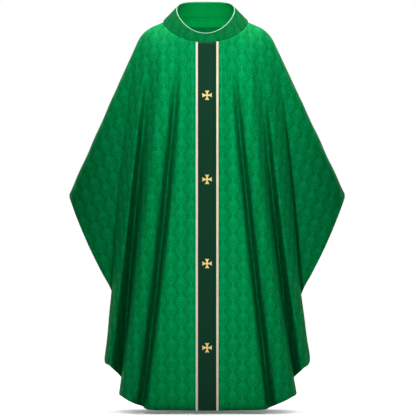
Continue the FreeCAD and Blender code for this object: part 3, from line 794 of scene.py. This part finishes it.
def plain_weave(name, first, second, pitch=0.0009):
    """Canvas, interlining and tape: an even plain weave with uneven yarns."""
    n = new_material(name)
    u, v = n.uv()
    weave = n.mul(n.wave(u, pitch), n.wave(v, pitch))
    yarn = n.noise(n.vector(n.mul(u, 0.3), v), 500.0, 3.0)
    colour = n.colours(n.ramp(n.add(n.mul(weave, 0.3), yarn), 0.2, 0.8), first, second)
    normal = n.bump(n.add(weave, yarn), 0.00014, 0.7)
    return n.finish(colour, 0.8, normal)


GROUND = srgb(0, 126, 57)
# The figure's colour: lighter and mintier than the ground, partly the woven figure and partly painted satin
# sheen.
FIGURE_AND_PAINTED_SHEEN = srgb(7, 156, 92)
MATERIALS = {
    "damask": damask("damask_green", GROUND, FIGURE_AND_PAINTED_SHEEN),
    "reverse": damask("damask_reverse", srgb(0, 112, 52), srgb(2, 128, 62), 0.6, flip=True),
    # Painted light: the facing is the same damask in lighter colours and without fold shade, so that the
    # inside of the collar looks lit.
    "facing": damask("damask_facing", srgb(1, 168, 76), srgb(3, 178, 84), 0.5, fold_shade=0.0),
    "band": ribbed_band(),
    "braid": braid(),
    "gold": gold_thread("gold_embroidery", srgb(196, 148, 62), srgb(247, 214, 128)),
    "gold_cord": gold_thread("gold_cord", srgb(226, 184, 104), srgb(255, 236, 170)),
    # Painted shade: the collar's outside is the same damask in darker colours, as if in shade.
    "collar": damask("damask_collar_painted_shade", srgb(0, 94, 43), srgb(1, 114, 58), 0.8, fold_shade=0.1),
    "piping": piping_satin(),
    "canvas": plain_weave("interlining_canvas", srgb(150, 144, 128), srgb(188, 182, 166)),
    "stiffener": plain_weave("collar_canvas", srgb(176, 170, 152), srgb(206, 200, 184), 0.0013),
    "tape": plain_weave("seam_tape", srgb(2, 84, 42), srgb(12, 112, 60), 0.0011),
}


def dress(piece, *keys, slot=None, stands_for=()):
    """Materials, body and CAD nodes of a finished piece. The slot is not used."""
    for key in keys:
        piece.data.materials.append(MATERIALS[key])
    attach(piece, "root")
    if stands_for:
        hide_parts(*stands_for)
    return piece


# ---------------------------------------------------------------- panels and what is sewn to them

PANEL_SAMPLES = 9
PANEL_ROWS = 146
ROW_POWER = 1.6              # rows crowd towards the top edge, where the cloth bends most
STRIP_STEP = 0.005
UNROLL_SAMPLES = 3
UNROLL_ROWS = 36
LINING_LOW = DAMASK / 2 + LAYER_GAP
BAND_UNDER = 0.0015
BAND_OVER = 0.0021
GALLOON_OVER = 0.0024
INSIDE = -0.0007             # the facings and the hem turn lie this far behind the middle of the cloth
INSIDE_CLOTH = 0.0006
CROSS_SIZE = 0.031
CROSS_TIP = 0.0132
CROSS_WAIST = 0.0030
CROSS_DROPS = (0.246, 0.5265, 0.807, 1.0875)
CORD_RADIUS = 0.00042
CORD_PITCH = 0.0011
CORD_HEIGHT = 0.0005         # of the cord's middle over the band
ORPHREY_START = 0.0008       # how far below the neck edge the band and its braids begin
FACING_REACH = 0.035         # the finished width
TAPE_WIDTH = 0.018
TAPE_SEAM = 0.0006           # each half of a tape stops this far from the seam
HEM_SLOPE = 0.3              # where a line meets the hem at a flatter slope, the turn grows no further
HEM_SHARE = 0.45             # the most that the turn takes of a line


class Panel:
    """The front or back of the garment, and everything that is sewn to it."""

    def __init__(self, name, facing):
        self.name = name
        self.facing = facing
        self.columns, self.left_neck, self.right_neck = panel_columns(facing, PANEL_SAMPLES, STRIP_STEP)
        shares = np.linspace(0, 1, PANEL_ROWS) ** ROW_POWER
        grid = np.array([column(shares) for column in self.columns])
        outward = np.array((0.0, facing, 0.0))
        grid = grid + surface_normals(grid, outward) * wrinkles(grid, facing)[..., None]
        self.grid = grid
        self.normals = surface_normals(grid, outward)
        # Along the arm seams the layers keep to the seam's plane, so that front and back don't cross.
        for i in [*range(self.left_neck + 1), *range(self.right_neck, len(self.columns))]:
            self.normals[i, 0] = unit(self.normals[i, 0] * (1, 0, 1))
        self.strip_start = (len(self.columns) - 1) / 2 - STRIP_EDGE / STRIP_STEP

    def at(self, index, shares):
        """Points and normals on the finished cloth, at columns and shares that may lie between others."""
        column, row = np.broadcast_arrays(index, np.asarray(shares) ** (1 / ROW_POWER) * (PANEL_ROWS - 1))
        i = np.clip(np.floor(column).astype(int), 0, len(self.columns) - 2)
        j = np.clip(np.floor(row).astype(int), 0, PANEL_ROWS - 2)
        across, down = (column - i)[..., None], (row - j)[..., None]
        points, normals = [
            mix(mix(v[i, j], v[i + 1, j], across), mix(v[i, j + 1], v[i + 1, j + 1], across), down)
            for v in (self.grid, self.normals)]
        return points, unit(normals)

    def strip(self, xs, shares):
        """Points and normals on the centre strip, at given distances from the centre line."""
        return self.at(self.strip_start + (np.asarray(xs) + STRIP_EDGE) / STRIP_STEP, shares)

    def cloth(self):
        coarse_columns = panel_columns(self.facing, UNROLL_SAMPLES, 2 * STRIP_STEP)[0]
        shares = np.linspace(0, 1, UNROLL_ROWS) ** ROW_POWER
        coarse = np.array([column(shares) for column in coarse_columns])
        flat = unroll(coarse, len(coarse_columns) // 2)
        uv = self.spread(flat)
        low, high = flat.reshape(-1, 2).min(axis=0), flat.reshape(-1, 2).max(axis=0)
        self.cut = (float(high[0] - low[0]), float(high[1] - low[1]))
        self.area = area_of(flat)
        piece = sheet_mesh(self.name + "_cloth", self.grid, self.normals, -DAMASK / 2, DAMASK / 2, uv)
        return dress(piece, "damask", "reverse", slot="damask_green",
                     stands_for=[self.name + "_panel_left", self.name + "_panel_right"])

    def spread(self, flat):
        """The flat cut of the coarse columns on the fine grid, which samples the same guides."""
        coarse_strip, fine_strip = round(STRIP_EDGE / STRIP_STEP), round(2 * STRIP_EDGE / STRIP_STEP)
        coarse_half = (len(flat) - 1 - coarse_strip) // 2
        fine_half = (len(self.columns) - 1 - fine_strip) // 2
        where = np.concatenate((
            np.linspace(0, coarse_half, fine_half + 1)[:-1],
            np.linspace(coarse_half, coarse_half + coarse_strip, fine_strip + 1),
            np.linspace(coarse_half + coarse_strip, len(flat) - 1, fine_half + 1)[1:]))
        return resample(resample(flat, where, 0), np.linspace(0, UNROLL_ROWS - 1, PANEL_ROWS), 1)

    def add_strip(self, part, xs, rows, low, high, key, slot):
        """A vertical strip of the orphrey. high may be a function of across and along."""
        top = share_at(self.columns[len(self.columns) // 2], ORPHREY_START)
        grid, normals = self.strip(xs[:, None], np.linspace(top, 1.0, rows)[None, :])
        uv = lengths_uv(grid)
        reach = high(uv[..., 0], uv[..., 1]) if callable(high) else high
        piece = sheet_mesh(f"{self.name}_{part}_cloth", grid, normals, low, reach, uv)
        return dress(piece, key, key, slot=slot, stands_for=[f"{self.name}_{part}"])

    def orphrey(self):
        far, inner = STRIP_HALF_WIDTH, BAND_HALF_WIDTH + 2 * SEAM_HALF_GAP
        lining = self.add_strip("interlining", np.linspace(-far, far, 16), 120, LINING_LOW,
                                LINING_LOW + INSIDE_CLOTH, "canvas", "interlining_canvas")
        band = self.add_strip("band", np.linspace(-BAND_HALF_WIDTH, BAND_HALF_WIDTH, 25), 220,
                              BAND_UNDER, band_face, "band", "band_cloth")
        across = np.array((0, 0.07, 0.15, 0.25, 0.38, 0.5, 0.62, 0.75, 0.85, 0.93, 1.0))
        sewn_on = [self.add_strip("galloon_" + hand, mix(start, end, across), 1150, BAND_UNDER, plait,
                                  "braid", "galloon_braid")
                   for hand, start, end in (("left", -far, -inner), ("right", inner, far))]
        sewn_on += [self.cross(number + 1, drop) for number, drop in enumerate(CROSS_DROPS)]

    def cross(self, number, drop):
        """An embroidered cross: four arms of satin stitch, edged with a twisted cord."""
        middle = self.columns[len(self.columns) // 2](np.array((0.0, 1.0)))
        length = middle[0, 2] - middle[1, 2]

        def place(across, down, height):
            surface, normals = self.strip(across, (middle[0, 2] + drop + down) / length)
            return surface + normals * (BAND_OVER + height[..., None])

        points, faces, uvs, kinds = [], [], [], []

        def add(grid, uv, kind, closed=False):
            base = sum(len(p) for p in points)
            wide, tall = grid.shape[:2]
            points.append(grid.reshape(-1, 3))
            uvs.append(uv.reshape(-1, 2))
            for i in range(wide if closed else wide - 1):
                for j in range(tall if closed else tall - 1):
                    i2, j2 = (i + 1) % wide, (j + 1) % tall
                    corners = i * tall + j, i2 * tall + j, i2 * tall + j2, i * tall + j2
                    faces.append([base + corner for corner in corners])
                    kinds.append(kind)

        for quarter in range(4):
            a, b = arm_grid()
            height = arm_height(a, b)
            across, down = turned(a, b, quarter)
            add(place(across, down, height), np.stack((a, b), axis=-1), 0)
        outline, along = cross_outline()
        ring = np.linspace(0, 2 * math.pi, 8, endpoint=False)
        tangent = unit(np.roll(outline, -1, axis=0) - np.roll(outline, 1, axis=0))
        side = np.stack((tangent[:, 1], -tangent[:, 0]), axis=-1)
        twist = along[:, None] * 2 * math.pi / CORD_PITCH
        swell = CORD_RADIUS * (1 + 0.2 * np.cos(2 * ring[None, :] - twist))
        cord = outline[:, None, :] + side[:, None, :] * (np.cos(ring)[None, :] * swell)[..., None]
        height = CORD_HEIGHT + np.sin(ring)[None, :] * swell
        uv = np.stack(np.broadcast_arrays(ring[None, :] * 0.0004, along[:, None]), axis=-1)
        add(place(cord[..., 0], cord[..., 1], height), uv, 1, closed=True)
        name = f"{self.name}_cross_{number}"
        piece = mesh_piece(name + "_stitched", np.concatenate(points), faces, np.concatenate(uvs), kinds)
        if self.facing * piece.data.polygons[0].normal.y < 0:
            piece.data.flip_normals()
        return dress(piece, "gold", "gold_cord", slot="gold_embroidery", stands_for=[name])

    def inside_cloth(self, part, lines, key):
        """A narrow cloth inside the panel, from the points and normals of each of its columns."""
        grid, normals = (np.array([line[k] for line in lines]) for k in (0, 1))
        piece = sheet_mesh(f"{self.name}_{part}_cloth", grid, normals, INSIDE - INSIDE_CLOTH, INSIDE,
                           lengths_uv(grid))
        return dress(piece, key, key, slot="damask_green", stands_for=[f"{self.name}_{part}"]), grid

    def hem_turn(self):
        """The hem allowance, folded up inside along the hem and the cuffs."""
        last = len(self.columns) - 1
        lines = []
        for i, column in enumerate(self.columns):
            ends = [self.columns[k](np.array([1.0]))[0] for k in (max(i - 1, 0), min(i + 1, last))]
            grain = column(np.array((0.97, 1.0)))
            slope = np.linalg.norm(np.cross(unit(ends[1] - ends[0]), unit(grain[1] - grain[0])))
            length = np.linalg.norm(column(np.array([0.0]))[0] - grain[1])
            reach = min(HEM_TURN / max(slope, HEM_SLOPE), HEM_SHARE * length)
            lines.append(self.at(i, np.linspace(share_at(column, reach, from_hem=True), 1.0, 7)))
        piece, grid = self.inside_cloth("hem_turn", lines, "reverse")

    def neck_facing(self):
        lines = []
        for i in range(self.left_neck, self.right_neck + 1):
            shares = [share_at(self.columns[i], reach) for reach in np.linspace(LAYER_GAP, FACING_REACH, 10)]
            lines.append(self.at(i, shares))
        piece, grid = self.inside_cloth("neck_facing", lines, "facing")


def band_face(u, v):
    """The band's face: it dips a little at its edges, where the braids hold it down."""
    return BAND_OVER - 0.00022 * smoothstep(BAND_HALF_WIDTH - 0.004, BAND_HALF_WIDTH, np.abs(u))


def plait(u, v):
    """The face of a braid: corded edges with small beads, and a plaited middle."""
    beads = 0.5 + 0.5 * np.cos(v * 2 * math.pi / 0.0033)
    edge = smoothstep(0.0022, 0.0027, np.abs(u)) * smoothstep(0.0037, 0.0031, np.abs(u))
    chevron = np.abs(np.sin((v + np.abs(u) * 0.9) * math.pi / 0.0044))
    middle = smoothstep(0.0024, 0.0016, np.abs(u))
    groove = 1 - 0.7 * smoothstep(0.0005, 0.0, np.abs(u))
    raised = 0.00034 * edge * (0.6 + 0.4 * beads) + 0.00032 * middle * chevron * groove
    return GALLOON_OVER - 0.0003 + raised


def arm_half_width(b):
    """Half the width of a cross's arm at a distance b from its centre."""
    flare = np.clip((b - CROSS_WAIST / 2) / (CROSS_SIZE / 2 - CROSS_WAIST / 2), 0, 1)
    return CROSS_WAIST / 2 + (CROSS_TIP - CROSS_WAIST) / 2 * flare ** 2.0


def tip_reach(c):
    """How far out the arm's end lies at a share c across it: it is slightly hollow."""
    return CROSS_SIZE / 2 - 0.0009 * (1 - c * c)


def arm_grid(rows=125, columns=13):
    c = np.linspace(-1, 1, columns)[None, :]
    s = np.linspace(0, 1, rows)[:, None]
    start = np.abs(c) * CROSS_WAIST / 2
    b = start + (tip_reach(c) - start) * s
    half = np.maximum(arm_half_width(b), CROSS_WAIST / 2)
    return c * half, b


def arm_height(a, b):
    """Padded satin stitch: two slanting rows of threads that meet on the arm's middle line."""
    share = np.abs(a) / np.maximum(arm_half_width(b), CROSS_WAIST / 2)
    dome = np.sqrt(np.clip(1 - share ** 2.4, 0, 1))
    split = 1 - 0.25 * np.exp(-(a / 0.0005) ** 2)
    thread = 0.5 + 0.5 * np.cos((b - np.abs(a) * 0.45) * 2 * math.pi / 0.00062)
    end = smoothstep(CROSS_SIZE / 2, CROSS_SIZE / 2 - 0.0012, b)
    return 0.0001 + (0.00062 * dome * split + 0.00013 * thread * dome) * (0.35 + 0.65 * end)


def turned(a, b, quarter):
    """An arm's own coordinates turned by quarters: across the band and down it."""
    sine, cosine = ((0, -1), (1, 0), (0, 1), (-1, 0))[quarter]
    return a * cosine + b * sine, b * -cosine + a * sine


def cross_outline():
    """Points evenly along the cross's edge, and how far along each lies, in whole turns of the cord."""
    corners = []
    for quarter in range(4):
        side_b = np.linspace(CROSS_WAIST / 2, CROSS_SIZE / 2, 40)
        left = np.stack(turned(-arm_half_width(side_b), side_b, quarter), axis=-1)
        c = np.linspace(-1, 1, 24)[1:-1]
        end = np.stack(turned(c * CROSS_TIP / 2, tip_reach(c), quarter), axis=-1)
        right = np.stack(turned(arm_half_width(side_b), side_b, quarter), axis=-1)[::-1]
        corners += [left, end, right[:-1]]
    path = np.concatenate(corners)
    closed = np.concatenate((path, path[:1]))
    steps = np.linalg.norm(np.diff(closed, axis=0), axis=-1)
    run = np.concatenate(((0.0,), np.cumsum(steps)))
    turns = round(run[-1] / CORD_PITCH)
    along = np.linspace(0, run[-1], turns * 6, endpoint=False)
    points = np.stack([np.interp(along, run, closed[:, k]) for k in (0, 1)], axis=-1)
    return points, along * (turns * CORD_PITCH / run[-1])


def resample(values, where, axis):
    """Values at fractional places along one axis, smoothly."""
    size = values.shape[axis]
    low = np.clip(np.floor(where).astype(int), 0, size - 2)
    f = (where - low).reshape([-1 if k == axis else 1 for k in range(values.ndim)])
    p0, p1, p2, p3 = [np.take(values, np.clip(low + k, 0, size - 1), axis=axis) for k in (-1, 0, 1, 2)]
    return p1 + f * (p2 - p0) / 2 + f * f * (p0 - 2.5 * p1 + 2 * p2 - p3 / 2) \
        + f ** 3 * (1.5 * (p1 - p2) + (p3 - p0) / 2)


def shoulder_tape(front, back, side):
    """A tape inside the shoulder and arm seam, half on each panel."""
    last = len(front.columns) - 1
    stop = 2 * PANEL_SAMPLES // 3
    indices = range(front.left_neck - 2, stop, -1) if side < 0 else range(front.right_neck + 2, last - stop)
    reaches = np.linspace(TAPE_WIDTH / 2, TAPE_SEAM, 6)
    lines = []
    for i in indices:
        halves = []
        for panel in (back, front):
            shares = [share_at(panel.columns[i], reach) for reach in reaches]
            points, normals = panel.at(i, shares)
            halves.append(points + normals * (INSIDE - LAYER_GAP))
        lines.append(np.concatenate((halves[0], halves[1][::-1])))
    grid = np.array(lines)
    normals = surface_normals(grid, np.array((side, 0.0, 0.5)))
    name = ("left" if side < 0 else "right") + "_shoulder_tape"
    piece = sheet_mesh(name + "_cloth", grid, normals, -INSIDE_CLOTH, 0.0, lengths_uv(grid))
    dress(piece, "tape", "tape", slot="seam_tape", stands_for=[name])


# ---------------------------------------------------------------- collar

COLLAR_STEPS = 260
COLLAR_SEAM = 0.0003
PIPING_STEPS, PIPING_SIDES = 420, 14
PIPING_LIFT = 0.8            # of the cord's radius, over the rim
COLLAR_LAYERS = (("collar_stiffener", -0.00035, 0.00035, "stiffener", "collar_canvas"),
                 ("collar_outer", 0.00055, 0.00125, "collar", "damask_green"),
                 ("collar_facing", -0.00125, -0.00055, "facing", "damask_facing"))


def collar_grid(rows=16):
    opening = SEAM_HALF_GAP / NECK_BACK[0]
    lines = []
    for angle in np.linspace(opening, 2 * math.pi - opening, COLLAR_STEPS):
        base, rim = neck_ring(angle), rim_ring(angle)
        foot = base + unit(rim - base) * COLLAR_SEAM
        t = np.linspace(0, 1, rows)[:, None]
        lines.append(mix(rim, foot, t))
    return np.array(lines)


def build_collar():
    grid = collar_grid()
    normals = surface_normals(grid, np.array((0.0, -1.0, 0.0)))
    for name, low, high, key, slot in COLLAR_LAYERS:
        piece = sheet_mesh(name + "_cloth", grid, normals, low, high, lengths_uv(grid))
        dress(piece, key, key, slot=slot, stands_for=[name])


def build_piping():
    """The covered cord along the rim, joined at the centre back."""
    opening = SEAM_HALF_GAP / RIM_BACK[0]
    ring = np.linspace(0, 2 * math.pi, PIPING_SIDES, endpoint=False)
    angles = np.linspace(opening, 2 * math.pi - opening, PIPING_STEPS)
    points, uvs, along, before = [], [], 0.0, None
    for angle in angles:
        base, rim = neck_ring(angle), rim_ring(angle)
        lift = unit(rim - base)
        centre = rim + lift * PIPING_RADIUS * PIPING_LIFT
        forward = unit(rim_ring(angle + 0.01) - rim_ring(angle - 0.01))
        side = unit(np.cross(forward, lift))
        along += 0.0 if before is None else np.linalg.norm(centre - before)
        before = centre
        radius = PIPING_RADIUS * (1 + 0.025 * math.sin(along / 0.0041) + 0.02 * math.sin(along / 0.0013))
        up = np.cross(side, forward)
        points.append([centre + (side * math.cos(r) + up * math.sin(r)) * radius for r in ring])
        uvs.append([(along, r * PIPING_RADIUS) for r in ring])
    count, sides = PIPING_STEPS, PIPING_SIDES
    faces = []
    for start in range(0, (count - 1) * sides, sides):
        for j, j2 in zip(range(sides), [*range(1, sides), 0]):
            faces.append((start + j, start + sides + j, start + sides + j2, start + j2))
    faces += [tuple(range(sides)), tuple(reversed(range((count - 1) * sides, count * sides)))]
    vertices, uv = np.array(points).reshape(-1, 3), np.array(uvs).reshape(-1, 2)
    piece = mesh_piece("collar_piping_cord", vertices, faces, uv)
    first = piece.data.polygons[0]
    if (first.center - Vector(np.mean(points[0], axis=0))).dot(first.normal) < 0:
        piece.data.flip_normals()
    dress(piece, "piping", slot="piping_cord", stands_for=["collar_piping"])


def build_garment():
    build_piping()
    front, back = Panel("front", -1), Panel("back", 1)
    for panel in (front, back):
        cloth = panel.cloth()
        panel.hem_turn()
        panel.neck_facing()
        panel.orphrey()
    for side in (-1, 1):
        shoulder_tape(front, back, side)
    build_collar()


build_garment()

# ---------------------------------------------------------------- floor, light and camera

BEAM_PLACE = (0.04, -3.4, 0.9)
BEAM_ANGLE = math.radians(9.9)
BEAM_RADIUS = 0.35
BEAMS = ((0.02, 950), (-0.36, 660), (-0.74, 530), (-1.12, 520))      # height of the target, and watts
FLOOR_REACH = 30.0
FLOOR_LEVEL = -GARMENT_DROP - 0.012
CONTACT_SHADOW_REACH = 0.42         # how near the cloth the floor's painted contact shadow begins
WORLD_LIGHT = 0.05           # what the white background gives as light
VIEW_WIDTH = 1.3936
VIEW_CENTRE = Vector((0.003, -0.07, -0.623))
EYE = Vector((0.003, -18.0, -0.35))
SENSOR = 36.0


def aim(obj, target):
    obj.rotation_euler = (Vector(target) - obj.location).to_track_quat("-Z", "Y").to_euler()


def lamp(name, kind, place, target, power, **settings):
    light = bpy.data.lights.new(name, kind)
    light.energy = power
    for key, value in settings.items():
        setattr(light, key, value)
    made = link(name, light)
    made.location = place
    aim(made, target)


def build_lights():
    """Soft round beams whose edges fade, so that the sides are dimmer, and two weak fills."""
    for target_z, power in BEAMS:
        lamp("beam", "SPOT", BEAM_PLACE, (0.02, -0.15, target_z), power,
             spot_size=BEAM_ANGLE, spot_blend=1.0, shadow_soft_size=BEAM_RADIUS)
    lamp("top", "AREA", (0.0, 0.15, 1.3), (0.0, 0.0, 0.0), 36, shape="RECTANGLE", size=1.4, size_y=0.6)
    lamp("fill", "AREA", (0.0, -4.5, -0.6), (0.0, 0.0, -0.7), 4, shape="RECTANGLE", size=3.0, size_y=2.4)


def build_floor():
    """A white floor just under the hem. The camera sees it white, with a painted soft contact shadow where
    its glow is lowered near the cloth.
    """
    mesh = bpy.data.meshes.new("floor")
    around = ((-1, -1), (1, -1), (1, 1), (-1, 1))
    corners = [(x * FLOOR_REACH, y * FLOOR_REACH, FLOOR_LEVEL) for x, y in around]
    mesh.from_pydata(corners, [], [(0, 1, 2, 3)])
    floor = link("floor", mesh)
    n = new_material("floor_white_painted_shadow")
    # Painted contact shadow: the glow that the camera sees is lowered where cloth is near.
    white = n.mul(n.backdrop_rays(), n.ramp(n.openness(CONTACT_SHADOW_REACH, 12), 0.25, 0.97))
    n.feed(n.shader.inputs["Emission Color"], (1.0, 1.0, 1.0, 1.0))
    n.feed(n.shader.inputs["Emission Strength"], white)
    mesh.materials.append(n.finish((0.85, 0.85, 0.85, 1.0), 0.9, specular_ior_level=0.0))
    one_sided = n.node("ShaderNodeMixShader")        # clear from below, so that the inside can be seen
    n.feed(one_sided.inputs[0], n.node("ShaderNodeNewGeometry").outputs["Backfacing"])
    n.feed(one_sided.inputs[1], n.shader.outputs[0])
    n.feed(one_sided.inputs[2], n.node("ShaderNodeBsdfTransparent").outputs[0])
    n.feed(n.tree.nodes["Material Output"].inputs["Surface"], one_sided.outputs[0])


def build_world():
    """White for the rays that see the background, and dim as a light."""
    world = bpy.data.worlds.new("studio")
    bpy.context.scene.world = world
    n = Nodes(world)
    strength = n.node("ShaderNodeMix", data_type="FLOAT")
    for socket, value in ((0, n.backdrop_rays()), (2, WORLD_LIGHT), (3, 1.0)):
        n.feed(strength.inputs[socket], value)
    background = n.tree.nodes["Background"]
    n.feed(background.inputs["Color"], (1.0, 1.0, 1.0, 1.0))
    n.feed(background.inputs["Strength"], strength.outputs[0])


def build_camera():
    lens = bpy.data.cameras.new("camera")
    lens.sensor_width = SENSOR
    lens.lens = SENSOR * (EYE - VIEW_CENTRE).length / VIEW_WIDTH
    camera = link("camera", lens)
    camera.location = EYE
    aim(camera, VIEW_CENTRE)
    bpy.context.scene.camera = camera


build_floor()
build_world()
build_lights()
build_camera()
bpy.context.scene.view_settings.view_transform = "Standard"
